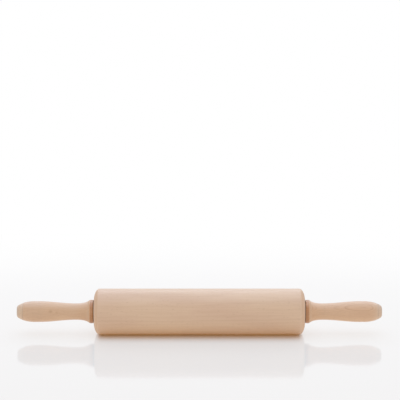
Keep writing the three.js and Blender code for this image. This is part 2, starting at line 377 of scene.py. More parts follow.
# %% [markdown]
# ## A lathe
# Every outside piece of the pin is turned, so one tool makes them all. A cylinder could be scaled ring by
# ring, but spinning an outline is closer to how a turner works: a single point is extruded along the
# outline, above the axle, and the line is spun once round the axle. What is made for one end of the pin is
# then copied and turned end for end.

# %% Outline and spin
WELD = 1e-6
TURNING_SEAM = 30  # degrees past which an edge shows as an edge


def round_axle(along, radius, angle=0):
    """A place in metres, from millimetres and an angle in degrees from straight up, towards +Y."""
    turn = math.radians(angle)
    return Vector((along * MM, radius * MM * math.sin(turn), axle_height + radius * MM * math.cos(turn)))


def named(name):
    """Names the active piece and its mesh."""
    piece = bpy.context.object
    piece.name = name
    piece.data.name = name
    return piece


def draw_outline(name, places):
    """Starts a piece as a line through these places, and leaves it in edit mode, all selected."""
    bpy.ops.mesh.primitive_plane_add(size=MM)
    piece = named(name)
    bpy.ops.object.mode_set(mode="EDIT")
    bpy.ops.mesh.select_mode(type="VERT")
    bpy.ops.mesh.merge(type="CENTER")
    bpy.ops.transform.translate(value=places[0])
    for here, there in zip(places, places[1:]):
        bpy.ops.mesh.extrude_vertices_move(TRANSFORM_OT_translate={"value": there - here})
    bpy.ops.mesh.select_all(action="SELECT")
    return piece


def spin_round_axle(steps, degrees=360):
    """Spins what is selected round the axle, and selects all that comes of it."""
    bpy.ops.mesh.spin(steps=steps, angle=math.radians(degrees), center=pin_middle, axis=(1, 0, 0))
    bpy.ops.mesh.select_all(action="SELECT")


def shade_smooth():
    """Shades the active piece smooth, apart from its sharp edges."""
    bpy.ops.object.shade_smooth_by_angle(angle=math.radians(TURNING_SEAM))


def turn_on_lathe(name, outline, steps):
    """Spins an outline of (along the axle, radius) points, in millimetres, into a closed piece."""
    piece = draw_outline(name, [round_axle(along, radius) for along, radius in outline])
    spin_round_axle(steps)
    bpy.ops.mesh.remove_doubles(threshold=WELD)
    bpy.ops.mesh.normals_make_consistent(inside=False)
    bpy.ops.object.mode_set(mode="OBJECT")
    shade_smooth()
    return piece


print("lathe ready")


# %% Parts of an outline
def arc(middle, reach, start, end, steps):
    """Points of an ellipse arc: middle and reach are (along, radius), and 0 degrees points outwards."""
    points = []
    for i in range(steps + 1):
        angle = math.radians(start + (end - start) * i / steps)
        points.append((middle[0] + reach[0] * math.sin(angle), middle[1] + reach[1] * math.cos(angle)))
    return points


def mirrored(outline):
    return [(-along, radius) for along, radius in outline]


def both_ends(half):
    """A whole outline from the half on the right."""
    return [*mirrored(reversed(half)), *half]


def closed(outline):
    return [*outline, outline[0]]


def band(start, end, inner, outer):
    """The closed outline of a plain ring."""
    return closed([(start, inner), (end, inner), (end, outer), (start, outer)])


print("outline helpers ready")


# %% Copies and places
def pick(piece):
    """Makes a piece the only selected one, and the active one."""
    bpy.ops.object.select_all(action="DESELECT")
    piece.select_set(True)
    bpy.context.view_layer.objects.active = piece


def copy_of(piece, name):
    pick(piece)
    bpy.ops.object.duplicate(linked=False)
    return named(name)


def edit_all():
    """Opens the active piece in edit mode, all selected."""
    bpy.ops.object.mode_set(mode="EDIT")
    bpy.ops.mesh.select_all(action="SELECT")


def turn_end_for_end():
    """Turns the active piece half round about the upright line through the middle of the pin."""
    edit_all()
    bpy.ops.transform.rotate(value=math.pi, orient_axis="Z", center_override=pin_middle)
    bpy.ops.object.mode_set(mode="OBJECT")


def settle(piece, node, material):
    """Puts a finished piece in the place of its node, on the node's body, in its own finish."""
    piece.data.materials.clear()
    piece.data.materials.append(material)
    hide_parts(node)
    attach(piece, frame["nodes"][node]["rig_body"])


# %% [markdown]
# ## Roller
# The roller is one barrel of beech. Its ends are rounded so that they leave no line in the dough, a bore
# clears the axle, and each end has a seat for a bearing. A plain cylinder with bevels would do for the
# outside, but one closed outline gives the seats and the bore as well.

# %% Roller
ROLLER_STEPS = 128
EDGE_STEPS = 18
EDGE_REACH = 7
EDGE_DEPTH = 14
BORE_RADIUS = 8.05
SEAT_RADIUS = 11.15
SEAT_DEPTH = 8.9
MOUTH_CHAMFER = 0.8

roller_end = roller_high.x / MM
roller_radius = (roller_high.z - axle_height) / MM
seat_floor = roller_end - SEAT_DEPTH
edge_middle = (roller_end - EDGE_REACH, roller_radius - EDGE_DEPTH)
half_roller = [
    *arc(edge_middle, (EDGE_REACH, EDGE_DEPTH), 0, 90, EDGE_STEPS),
    (roller_end, SEAT_RADIUS + MOUTH_CHAMFER),
    (roller_end - MOUTH_CHAMFER, SEAT_RADIUS),
    (seat_floor, SEAT_RADIUS),
    (seat_floor, BORE_RADIUS),
]
roller = turn_on_lathe("turned_roller", closed(both_ends(half_roller)), ROLLER_STEPS)
print("roller in mm:", [round(side / MM, 2) for side in roller.dimensions])

# %% [markdown]
# ## Handles
# Each handle starts with a rim next to the roller, drops through a flare to a narrow neck, swells into the
# grip and, after a short straight, closes in a rounded end with a small flat. The flare and the end are
# pieces of ellipses, and the swell is half a wave. The turner scored a fine line near each end by eye, so
# it isn't at the same place on both handles, and the outline is a function of that place. The outline has
# two sharp corners, at the back of the rim and round the flat, each between two straight stretches that
# leave room for a bevel.

# %% Sizes of a handle
RIM_RADIUS = 14
RIM_WIDTH = 4.6
RIM_ROUND = 0.8
FLARE_TURN = 78  # degrees of its ellipse, from the rim to the neck
FLARE_START = 67  # degrees; from the rim to here the flare is straight
NECK_RADIUS = 9.8
NECK_FROM_FACE = 20.3
GRIP_RADIUS = 12.45
GRIP_STRAIGHT = 4.8
GRIP_FROM_END = 21
END_RADIUS = 6.15  # before the edge is rounded
END_ROUND = 1.6
RIGHT_LINE = 4.7  # from the end
LEFT_LINE = 7.3
LINE_HALF = 0.5
LINE_DEPTH = 0.3
SOCKET_RADIUS = 4.15
SOCKET_DEPTH = 50.5
SOCKET_CHAMFER = 0.6

handle_low, handle_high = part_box("right_handle")
handle_face = handle_low.x / MM
handle_end = handle_high.x / MM
neck_place = handle_face + NECK_FROM_FACE
grip_end = handle_end - GRIP_FROM_END
grip_start = grip_end - GRIP_STRAIGHT
rim_edge = handle_face + RIM_WIDTH
print("handle from", round(handle_face, 2), "to", round(handle_end, 2), "mm")

# %% Rim, flare, swell and end
RIM_STEPS = 8
CURVE_STEPS = 22

rim_middle = (handle_face + RIM_ROUND, RIM_RADIUS - RIM_ROUND)
rim_face = arc(rim_middle, (RIM_ROUND, RIM_ROUND), -90, 0, RIM_STEPS)
flare_angle = math.radians(FLARE_TURN)
flare_depth = (RIM_RADIUS - NECK_RADIUS) / (1 - math.cos(flare_angle))
flare_reach = (NECK_FROM_FACE - RIM_WIDTH) / math.sin(flare_angle)
flare_middle = (neck_place, NECK_RADIUS + flare_depth)
flare = arc(flare_middle, (flare_reach, flare_depth), 180 + FLARE_START, 180, CURVE_STEPS)

swell = []
for i in range(1, CURVE_STEPS + 1):
    share = i / CURVE_STEPS
    rise = (1 - math.cos(math.pi * share)) / 2
    along = neck_place + (grip_start - neck_place) * share
    swell.append((along, NECK_RADIUS + (GRIP_RADIUS - NECK_RADIUS) * rise))

dome_reach = GRIP_FROM_END / math.sin(math.acos(END_RADIUS / GRIP_RADIUS))
dome_angle = math.asin((GRIP_FROM_END - END_ROUND) / dome_reach)
dome = arc((grip_end, 0), (dome_reach, GRIP_RADIUS), 0, math.degrees(dome_angle), CURVE_STEPS)
end_fall = END_ROUND * math.tan(dome_angle) * GRIP_RADIUS / dome_reach
end_corner = (handle_end, dome[-1][1] - end_fall)
end_slope = math.hypot(END_ROUND, end_fall)
print("flat end in mm across:", round(2 * end_corner[1], 2))


# %% Outline of a handle
def on_dome(along, depth=0):
    return along, GRIP_RADIUS * math.cos(math.asin((along - grip_end) / dome_reach)) - depth


def handle_outline(line_from_end):
    line_place = handle_end - line_from_end
    line_start = line_place - LINE_HALF
    line_stop = line_place + LINE_HALF
    return [
        (handle_face + SOCKET_DEPTH, 0),
        (handle_face + SOCKET_DEPTH, SOCKET_RADIUS),
        (handle_face + SOCKET_CHAMFER, SOCKET_RADIUS),
        (handle_face, SOCKET_RADIUS + SOCKET_CHAMFER),
        *rim_face,
        (rim_edge, RIM_RADIUS),
        *flare,
        *swell,
        *[point for point in dome if point[0] < line_start],
        on_dome(line_start),
        on_dome(line_place, LINE_DEPTH),
        on_dome(line_stop),
        *[point for point in dome if point[0] > line_stop],
        end_corner,
        (handle_end, 0),
    ]


print("handle outline has", len(handle_outline(RIGHT_LINE)), "points")

# %% [markdown]
# ## Turning the handles
# Each handle is turned, and its two sharp rings are bevelled as sandpaper would. Both are made on the
# right, and the left one is then turned end for end. The rings could be rounded in the outline too, but a
# bevel between straight stretches needs only its width, and it keeps the two radii easy to change.

# %% Handles
HANDLE_STEPS = 112
RIM_BEVEL = 1.1
BEVEL_STEPS = 6
BEVEL_REST = 0.02  # left of a straight stretch beside a bevel
RING_SLACK = 0.01
SELECT_MODES = {"vertices": "VERT", "edges": "EDGE", "polygons": "FACE"}


def select_where(piece, parts, wanted):
    """Leaves a piece in edit mode with only the wanted vertices, edges or polygons selected."""
    pick(piece)
    bpy.ops.object.mode_set(mode="EDIT")
    bpy.ops.mesh.select_mode(type=SELECT_MODES[parts])
    bpy.ops.mesh.select_all(action="DESELECT")
    bpy.ops.object.mode_set(mode="OBJECT")
    for part in getattr(piece.data, parts):
        part.select = wanted(part)
    bpy.ops.object.mode_set(mode="EDIT")


def bevel_ring(piece, along, radius, width):
    """Bevels a turned piece's ring of edges at this place along the axle and this radius."""

    def on_ring(point):
        height = math.hypot(point.co.y, point.co.z - axle_height) / MM
        return max(abs(point.co.x / MM - along), abs(height - radius)) < RING_SLACK

    def in_ring(edge):
        return all(on_ring(piece.data.vertices[i]) for i in edge.vertices)

    select_where(piece, "edges", in_ring)
    bpy.ops.mesh.bevel(offset=width * MM, segments=BEVEL_STEPS, affect="EDGES")
    bpy.ops.object.mode_set(mode="OBJECT")
    shade_smooth()


def turned_handle(name, line_from_end):
    handle = turn_on_lathe(name, handle_outline(line_from_end), HANDLE_STEPS)
    bevel_ring(handle, rim_edge, RIM_RADIUS, RIM_BEVEL)
    bevel_ring(handle, *end_corner, end_slope - BEVEL_REST)
    return handle


right_handle = turned_handle("right_turned_handle", RIGHT_LINE)
left_handle = turned_handle("left_turned_handle", LEFT_LINE)
turn_end_for_end()
print("handle in mm:", [round(side / MM, 2) for side in right_handle.dimensions])

# %% [markdown]
# ## Beech
# Beech is pale and pinkish, with faint growth rings, fine lengthwise fibres and the short dark dashes of
# its rays. Painting lines on the surface would break at the round ends, so the wood is solid: each point of
# the log has its own shade, measured from the pith, and the turned surface simply cuts through it. That
# gives long stripes on the roller and closed ovals on the swell of a grip, with no drawing.

# %% Growth rings
RING_SWAY_ALONG = 120
RING_SWAY_ACROSS = 40
NOISE_MIDDLE = (0.5, 0.5, 0.5)
ACROSS = (0, 1, 1)  # leaves out the way along the grain
LATE_START = 0.45
LATE_END = 0.93
FAINT_YEAR = 0.3


def along_grain(tree, place, length, width):
    """Squeezes a place so that a pattern one unit wide comes out that long and that wide."""
    return calculate_vector(tree, "MULTIPLY", place, (1 / length, 1 / width, 1 / width))


beech_figure, given, result = new_group(
    "beech_figure",
    {"Place": "Vector", "Ring Width": "Float", "Sway": "Float"},
    {"Rings": "Float", "Fibres": "Float", "Flecks": "Float", "Clouds": "Float"},
)
tree = beech_figure
in_log = given["Place"]
sway = cloud(tree, along_grain(tree, in_log, RING_SWAY_ALONG, RING_SWAY_ACROSS), output="Color")
sway = scaled(tree, calculate_vector(tree, "SUBTRACT", sway, NOISE_MIDDLE), given["Sway"])
swayed = calculate_vector(tree, "ADD", in_log, sway)
from_pith = length_of(tree, calculate_vector(tree, "MULTIPLY", swayed, ACROSS))
years = calculate(tree, "DIVIDE", from_pith, given["Ring Width"])
season = calculate(tree, "FRACT", years)
late = times(tree, ease(tree, season, LATE_START, LATE_END), ease(tree, season, 1, LATE_END))
good_year = add_node(tree, "TexWhiteNoise", noise_dimensions="1D")
feed_inputs(tree, good_year, W=calculate(tree, "FLOOR", years))
feed(tree, result["Rings"], times(tree, late, spread(tree, good_year.outputs["Value"], FAINT_YEAR, 1)))
print("wood figure:", [item.name for item in beech_figure.interface.items_tree])

# %% Fibres, flecks and clouds
FIBRE_LENGTH = 80
FIBRE_WIDTH = 1.3
FINE_FIBRE_LENGTH = 16
FINE_FIBRE_WIDTH = 0.4
FIBRE_RANGE = (0.3, 0.72)
FLECK_LENGTH = 6
FLECK_WIDTH = 1.3
FLECK_RIM = 0.34  # from the middle of its cell, whose width is 1
FLECK_CORE = 0.12
FLECK_CHANCE = (0.35, 0.8)  # cells below show no fleck, and cells above a full one
CLOUD_LENGTH = 90
CLOUD_WIDTH = 24
NOISE_RANGE = (0.3, 0.7)  # where most of a cloud's values lie

coarse = cloud(tree, along_grain(tree, in_log, FIBRE_LENGTH, FIBRE_WIDTH), FINE_DETAIL)
fine = cloud(tree, along_grain(tree, in_log, FINE_FIBRE_LENGTH, FINE_FIBRE_WIDTH))
fibres = plus(tree, ease(tree, coarse, *FIBRE_RANGE), ease(tree, fine, *FIBRE_RANGE))
feed(tree, result["Fibres"], times(tree, fibres, 1 / 2))

cells = add_node(tree, "TexVoronoi")
feed_inputs(tree, cells, Vector=along_grain(tree, in_log, FLECK_LENGTH, FLECK_WIDTH), Scale=1)
chance = add_node(tree, "SeparateColor")
feed_inputs(tree, chance, Color=cells.outputs["Color"])
fleck = ease(tree, cells.outputs["Distance"], FLECK_RIM, FLECK_CORE)
feed(tree, result["Flecks"], times(tree, fleck, ease(tree, chance.outputs[0], *FLECK_CHANCE)))

clouds = cloud(tree, along_grain(tree, in_log, CLOUD_LENGTH, CLOUD_WIDTH))
feed(tree, result["Clouds"], ease(tree, clouds, *NOISE_RANGE))
print("nodes in the wood figure:", len(tree.nodes))

# %% [markdown]
# ## Tool marks, wear and painted light
# A turned piece keeps faint rings from the chisel and the sandpaper, so a noise that changes only along the
# axle makes both a height and a mask. A second mask lightens or darkens the colour round a place: there it
# stands for painted light, painted shade and painted sheen, for a darker, warmer neck and, on the left
# grip, for a real stain. That mask is 1 at a given place along the axle, fades over a given reach and is
# broken up by a cloud, so it never shows as an even band.

# %% Group for tool marks
MARK_RANGE = (0.25, 0.75)

turning_marks, given, result = new_group(
    "turning_marks", {"Along": "Float", "Pitch": "Float"}, {"Marks": "Float"}
)
tree = turning_marks
noise = add_node(tree, "TexNoise", noise_dimensions="1D")
pitches = calculate(tree, "DIVIDE", given["Along"], given["Pitch"])
feed_inputs(tree, noise, W=pitches, Scale=1, Detail=FINE_DETAIL)
feed(tree, result["Marks"], ease(tree, noise.outputs["Fac"], *MARK_RANGE))
print("nodes in the tool marks:", len(tree.nodes))

# %% Group for painted light and wear
LIGHT_AND_WEAR_PATCH = 7
PATCH_RANGE = (0.6, 0.25)

edge_wear, given, result = new_group(
    "edge_wear",
    {
        "Place": "Vector",
        "Along": "Float",
        "Edge": "Float",
        "Reach": "Float",
        "Softness": "Float",
        "Patchiness": "Float",
    },
    {"Wear": "Float"},
)
tree = edge_wear
away = calculate(tree, "ABSOLUTE", calculate(tree, "SUBTRACT", given["Along"], given["Edge"]))
full = calculate(tree, "SUBTRACT", given["Reach"], given["Softness"])
near = ease(tree, away, given["Reach"], full)
patches = cloud(tree, scaled(tree, given["Place"], 1 / LIGHT_AND_WEAR_PATCH), FINE_DETAIL)
bare = times(tree, ease(tree, patches, *PATCH_RANGE), given["Patchiness"])
feed(tree, result["Wear"], times(tree, near, calculate(tree, "SUBTRACT", 1, bare)))
print("groups:", sorted(group.name for group in bpy.data.node_groups))

# %% [markdown]
# ## Pin knots
# Where a thin twig once grew, beech has a dark speck with a soft rim, drawn out along the grain. A spot
# painted on would show its flat edge, so the speck is a small ball of dark wood in the solid, cut by the
# surface.

# %% Group for pin knots
KNOT_STRETCH = 1.15
KNOT_CORE = 0.2  # of its size, fully dark

pin_knot, given, result = new_group(
    "pin_knot", {"Place": "Vector", "Middle": "Vector", "Size": "Float"}, {"Knot": "Float"}
)
tree = pin_knot
offset = calculate_vector(tree, "SUBTRACT", given["Place"], given["Middle"])
away = length_of(tree, calculate_vector(tree, "DIVIDE", offset, (KNOT_STRETCH, 1, 1)))
feed(tree, result["Knot"], ease(tree, calculate(tree, "DIVIDE", away, given["Size"]), 1, KNOT_CORE))
print("knot stretch:", KNOT_STRETCH)

# %% [markdown]
# ## Beech finish
# The roller and the two handles come from different boards, so each has its own pith, lean and shade, with
# the same figure. The wood is sanded and oiled: a thin film of oil gives it a satin gloss, and a trace of
# fuzz lightens it at a glancing angle. End grain drinks the oil, so no film stays there and it is duller.
# The surface's own direction tells where that is.

# %% Colour of a board
END_GRAIN_START = 0.3
END_GRAIN_END = 0.85


def split(tree, vector):
    node = add_node(tree, "SeparateXYZ")
    feed_inputs(tree, node, Vector=vector)
    return node.outputs


def figure_of_board(tree, place, look):
    """The wood's figure, in a log whose pith lies and leans as this board's did."""
    log = add_node(tree, "VectorRotate", rotation_type="EULER_XYZ")
    feed_inputs(tree, log, Vector=place, Center=look["pith"], Rotation=look["lean"])
    in_log = calculate_vector(tree, "SUBTRACT", log.outputs["Vector"], look["pith"])
    return use_group(tree, beech_figure, Place=in_log, Ring_Width=look["ring_width"], Sway=look["sway"])


def end_grain_mask(tree):
    facing = split(tree, add_node(tree, "TexCoord").outputs["Normal"])["X"]
    return ease(tree, calculate(tree, "ABSOLUTE", facing), END_GRAIN_START, END_GRAIN_END)


def wood_colour(tree, figure, look):
    colour = mix_colours(tree, figure["Clouds"], look["pale"], look["pink"])
    colour = mix_colours(tree, times(tree, figure["Rings"], look["ring_strength"]), colour, look["late"])
    fibres = times(tree, figure["Fibres"], look["fibre_strength"])
    colour = mix_colours(tree, fibres, colour, look["fibre"], "MULTIPLY")
    return mix_colours(tree, times(tree, figure["Flecks"], look["fleck_strength"]), colour, look["fleck"])


print("end grain shows from", END_GRAIN_START, "to", END_GRAIN_END)

# %% Roughness and relief of a board
SMOOTH_FIBRE = -0.06  # added to a board's roughness, as are the next three
ROUGH_FIBRE = 0.08
END_ROUGHNESS = 0.56
POLISH = -0.1
FIBRE_HEIGHT = -0.5
FLECK_HEIGHT = -0.4
BUMP_DEPTH = 0.25 * MM


def wood_roughness(tree, figure, end_grain, polish, look):
    smoothest = look["roughness"] + SMOOTH_FIBRE
    roughness = spread(tree, figure["Fibres"], smoothest, look["roughness"] + ROUGH_FIBRE)
    roughness = plus(tree, roughness, times(tree, end_grain, END_ROUGHNESS))
    return plus(tree, roughness, times(tree, polish, POLISH))


def wood_height(tree, figure, marks, look):
    flecks = times(tree, figure["Flecks"], FLECK_HEIGHT)
    height = plus(tree, times(tree, figure["Fibres"], FIBRE_HEIGHT), flecks)
    return plus(tree, height, times(tree, marks, look["mark_strength"]))


print("relief of the wood in mm:", round(BUMP_DEPTH / MM, 2))

# %% Beech finish
END_GRAIN_SHARE = 0.7
# how much of the painted light, painted shade and stains shows on end grain
END_GRAIN_LIGHT_AND_WEAR = 0.5
MARK_SHADE = (0.88, 0.86, 0.84, 1)
WOOD_GLOSS = 1.0
WOOD_FUZZ = 0.1
FUZZ_SPREAD = 0.5
OIL_FILM = 0.5
OIL_ROUGHNESS = 0.45


def beech(name, look):
    material, tree, shader = new_material(name)
    place = place_in_mm(tree)
    along = split(tree, place)["X"]
    from_middle = calculate(tree, "ABSOLUTE", along)
    figure = figure_of_board(tree, place, look)
    end_grain = end_grain_mask(tree)

    colour = wood_colour(tree, figure, look)
    for middle, size, strength in look["knots"]:
        knot = use_group(tree, pin_knot, Place=place, Middle=middle, Size=size)["Knot"]
        colour = mix_colours(tree, times(tree, knot, strength), colour, look["knot"])
    colour = mix_colours(tree, times(tree, end_grain, END_GRAIN_SHARE), colour, look["end"])
    marks = use_group(tree, turning_marks, Along=along, Pitch=look["mark_pitch"])["Marks"]
    shown = times(tree, marks, spread(tree, end_grain, look["mark_colour"], 1))
    colour = mix_colours(tree, shown, colour, MARK_SHADE, "MULTIPLY")
    polish = 0
    # painted light, painted shade and real stains, each multiplied into the colour round its place
    for shade, light_and_wear_values in look["painted_light_and_wear"]:
        light_and_wear_share = use_group(tree, edge_wear, Place=place, Along=from_middle, **light_and_wear_values)["Wear"]
        light_and_wear_share = times(tree, light_and_wear_share, spread(tree, end_grain, 1, END_GRAIN_LIGHT_AND_WEAR))
        colour = mix_colours(tree, light_and_wear_share, colour, shade, "MULTIPLY")
        polish = calculate(tree, "MAXIMUM", polish, light_and_wear_share)

    film = calculate(tree, "SUBTRACT", 1, end_grain)
    feed_inputs(
        tree,
        shader,
        Base_Color=colour,
        Roughness=wood_roughness(tree, figure, end_grain, polish, look),
        Specular_IOR_Level=WOOD_GLOSS,
        Coat_Weight=times(tree, film, OIL_FILM),
        Coat_Roughness=OIL_ROUGHNESS,
        Sheen_Weight=WOOD_FUZZ,
        Sheen_Roughness=FUZZ_SPREAD,
    )
    raise_surface(tree, shader, wood_height(tree, figure, marks, look), look["bump"], BUMP_DEPTH)
    return material


print("beech ready, with an oil film of", OIL_FILM)

# %% [markdown]
# ## Three boards
# The roller is straight-grained and even, and its rounded ends are made paler, a painted light where they
# turn to the side. The handles are a little yellower. Their rims, next to the roller, are darker and
# browner, a painted shade where the roller blocks the light and throws its own warm light back, and a
# fainter painted shade runs on over the lip; towards the neck the colour is a little darker and warmer.
# Their ends are made paler, a painted sheen, the left one only as far as its scored line, a painted shade
# darkens that line, and the palm has stained the left grip. The left board has two pin knots. On the front
# of the right grip the rings lie along the surface, so its swell cuts them into an oval.

# %% Roller finish
# painted light: the rounded ends of the roller are made paler where they turn to the side
PAINTED_END_LIGHT = (1.06, 1.06, 1.08, 1)
END_LIGHT_FROM_END = 1
END_LIGHT_REACH = 7
END_LIGHT_EDGE = 7
END_LIGHT_PATCHES = 0.8
SHADE_AND_STAIN_PATCHES = 0.25


def painted_light_and_wear(edge, shade, reach, softness, patchiness=SHADE_AND_STAIN_PATCHES):
    """A colour multiplied in round one place along the axle, with its soft edge, for both ends of the pin:
    painted light and painted shade, and real stains.
    """
    return shade, {"Edge": edge, "Reach": reach, "Softness": softness, "Patchiness": patchiness}


height_in_mm = axle_height / MM
roller_look = {
    "pith": (0, 38, height_in_mm - 62),
    "lean": (0, math.radians(0.5), math.radians(0.4)),
    "ring_width": 3.4,
    "sway": 6,
    "pale": (0.62, 0.424, 0.278, 1),
    "pink": (0.586, 0.385, 0.254, 1),
    "late": (0.48, 0.29, 0.17, 1),
    "ring_strength": 0.3,
    "fibre": (0.8, 0.74, 0.68, 1),
    "fibre_strength": 0.35,
    "fleck": (0.33, 0.18, 0.1, 1),
    "fleck_strength": 0.25,
    "end": (0.615, 0.42, 0.28, 1),
    "painted_light_and_wear": [painted_light_and_wear(roller_end - END_LIGHT_FROM_END, PAINTED_END_LIGHT, END_LIGHT_REACH, END_LIGHT_EDGE, END_LIGHT_PATCHES)],
    "roughness": 0.46,
    "knots": [],
    "mark_pitch": 1.1,
    "mark_strength": 0.08,
    "mark_colour": 0.05,
    "bump": 0.3,
}
settle(roller, "roller", beech("beech_roller", roller_look))

# %% Painted shade, painted sheen and wear of the handles
# painted shade: the rim next to the roller is darker and browner, where the roller blocks the light and
# throws warm light back
RIM_PAINTED_SHADE = (0.74, 0.54, 0.225, 1)
RIM_SHADE_REACH = 4.4
RIM_SHADE_EDGE = 1.0
# a fainter painted shade that runs on over the lip
LIP_PAINTED_SHADE = (0.99, 0.89, 0.75, 1)
LIP_REACH = 6.6
LIP_EDGE = 1.6
# the neck is made a little darker and warmer towards the roller
NECK_DARKENING = (0.97, 0.915, 0.84, 1)
NECK_REACH = 26
NECK_EDGE = 19
# painted sheen: the rounded ends are made paler and greyer, as a glancing reflection would show them
END_PAINTED_SHEEN = (1.03, 1.14, 1.27, 1)
RIGHT_END_REACH = 14
RIGHT_END_EDGE = 11
LEFT_END_REACH = 8.1
LEFT_END_EDGE = 1.6
# painted shade in the scored line
LINE_PAINTED_SHADE = (0.9, 0.89, 0.88, 1)
LINE_REACH = 0.8
LINE_EDGE = 0.5
PALM_STAIN = (0.955, 0.945, 0.955, 1)
PALM_FROM_END = 21
PALM_REACH = 17
PALM_EDGE = 12


def handle_light_and_wear(line_from_end, end_reach, end_edge):
    return [
        painted_light_and_wear(handle_face, RIM_PAINTED_SHADE, RIM_SHADE_REACH, RIM_SHADE_EDGE),
        painted_light_and_wear(handle_face, LIP_PAINTED_SHADE, LIP_REACH, LIP_EDGE),
        painted_light_and_wear(handle_face, NECK_DARKENING, NECK_REACH, NECK_EDGE),
        painted_light_and_wear(handle_end, END_PAINTED_SHEEN, end_reach, end_edge),
        painted_light_and_wear(handle_end - line_from_end, LINE_PAINTED_SHADE, LINE_REACH, LINE_EDGE),
    ]


right_light_and_wear = handle_light_and_wear(RIGHT_LINE, RIGHT_END_REACH, RIGHT_END_EDGE)
left_light_and_wear = handle_light_and_wear(LEFT_LINE, LEFT_END_REACH, LEFT_END_EDGE)
left_light_and_wear.append(painted_light_and_wear(handle_end - PALM_FROM_END, PALM_STAIN, PALM_REACH, PALM_EDGE))
print("worn places on the handles:", len(right_light_and_wear), "right,", len(left_light_and_wear), "left")

# %% Handle finishes
PITH_AWAY = 39.95
PITH_TURN = math.radians(40)

right_look = {
    **roller_look,
    "pith": (0, -PITH_AWAY * math.cos(PITH_TURN), height_in_mm + PITH_AWAY * math.sin(PITH_TURN)),
    "lean": (0, 0, 0),
    "ring_width": 1.1,
    "sway": 1.6,
    "ring_strength": 0.9,
    "pale": (0.62, 0.395, 0.23, 1),
    "pink": (0.585, 0.355, 0.205, 1),
    "end": (0.575, 0.455, 0.36, 1),
    "late": (0.47, 0.265, 0.14, 1),
    "painted_light_and_wear": right_light_and_wear,
    "mark_pitch": 0.8,
    "mark_strength": 0.2,
    "mark_colour": 0.15,
}
left_look = {
    **right_look,
    "pith": (0, 52, height_in_mm + 36),
    "lean": (0, math.radians(0.8), math.radians(-0.5)),
    "ring_strength": 0.3,
    "pale": (0.6, 0.385, 0.224, 1),
    "pink": (0.555, 0.34, 0.195, 1),
    "ring_width": 2.6,
    "sway": 5,
    "painted_light_and_wear": left_light_and_wear,
    "knot": (0.39, 0.215, 0.1, 1),
    "knots": [  # place, size and strength
        ((-177.6, -10.9, height_in_mm + 3.2), 2.7, 0.6),
        ((-170.4, -10.5, height_in_mm + 1.8), 2.0, 0.45),
    ],
}
settle(right_handle, "right_handle", beech("beech_right_handle", right_look))
settle(left_handle, "left_handle", beech("beech_left_handle", left_look))

# %% [markdown]
# ## Steel
# The rest of the pin is hidden inside the wood. Each steel piece keeps the marks of how it was made: a
# ground ring has fine lines round the axle, a drawn rod has them lengthwise, and all carry a film of oil
# with smudges in it. One group makes these three masks, and each steel then takes the ones that belong to
# it.

# %% Group for steel marks
LINE_STRETCH = 60  # how many times longer than wide a drawn line is

steel_marks, given, result = new_group(
    "steel_marks",
    {"Place": "Vector", "Pitch": "Float", "Smudge": "Float"},
    {"Rounds": "Float", "Lines": "Float", "Smudges": "Float"},
)
tree = steel_marks
finer = calculate(tree, "DIVIDE", 1, given["Pitch"])
section = add_node(tree, "CombineXYZ")
from_axle = length_of(tree, calculate_vector(tree, "MULTIPLY", given["Place"], ACROSS))
feed_inputs(tree, section, X=split(tree, given["Place"])["X"], Y=from_axle)
drawn = along_grain(tree, given["Place"], LINE_STRETCH, 1)
places = {
    "Rounds": scaled(tree, section.outputs[0], finer),
    "Lines": scaled(tree, drawn, finer),
    "Smudges": scaled(tree, given["Place"], calculate(tree, "DIVIDE", 1, given["Smudge"])),
}
for label, place in places.items():
    feed(tree, result[label], ease(tree, cloud(tree, place, FINE_DETAIL), *NOISE_RANGE))
print("steel marks:", [item.name for item in steel_marks.interface.items_tree])

# %% Steels
MARK_HEIGHT = 0.01 * MM
GROUND_LOOK = {
    "bright": (0.56, 0.57, 0.585, 1),
    "dull": (0.47, 0.47, 0.46, 1),
    "marks": "Rounds",
    "pitch": 0.12,
    "smudge": 3,
    "smooth": 0.15,
    "rough": 0.28,
    "film": 0.1,
    "relief": 0.4,
}


def steel(name, **changes):
    """A steel that differs from the ground one by these changes."""
    look = {**GROUND_LOOK, **changes}
    material, tree, shader = new_material(name)
    place = calculate_vector(tree, "SUBTRACT", place_in_mm(tree), (0, 0, height_in_mm))
    marks = use_group(tree, steel_marks, Place=place, Pitch=look["pitch"], Smudge=look["smudge"])
    grooves = marks[look["marks"]]
    colour = mix_colours(tree, marks["Smudges"], look["bright"], look["dull"])
    roughness = spread(tree, grooves, look["smooth"], look["rough"])
    roughness = plus(tree, roughness, times(tree, marks["Smudges"], look["film"]))
    feed_inputs(tree, shader, Base_Color=colour, Roughness=roughness, Metallic=1)
    raise_surface(tree, shader, grooves, look["relief"], MARK_HEIGHT)
    return material


ground_steel = steel("ground_bearing_steel")
drawn_steel = steel(
    "drawn_axle_steel",
    bright=(0.48, 0.49, 0.505, 1),
    dull=(0.45, 0.455, 0.46, 1),
    marks="Lines",
    pitch=0.15,
    smudge=5,
    smooth=0.26,
    rough=0.42,
    film=0.04,
)
polished_steel = steel(
    "polished_ball_steel",
    bright=(0.645, 0.66, 0.675, 1),
    dull=(0.58, 0.58, 0.57, 1),
    marks="Smudges",
    pitch=0.05,
    smudge=1.2,
    smooth=0.05,
    rough=0.09,
    film=0.04,
    relief=0.1,
)
pressed_steel = steel(
    "pressed_shield_steel",
    bright=(0.42, 0.435, 0.45, 1),
    dull=(0.35, 0.355, 0.355, 1),
    pitch=0.25,
    smooth=0.24,
    rough=0.38,
)
blackened_steel = steel(
    "blackened_spring_steel",
    bright=(0.075, 0.076, 0.082, 1),
    dull=(0.042, 0.042, 0.046, 1),
    marks="Smudges",
    pitch=0.1,
    smudge=0.7,
    smooth=0.38,
    rough=0.55,
    relief=0.6,
)
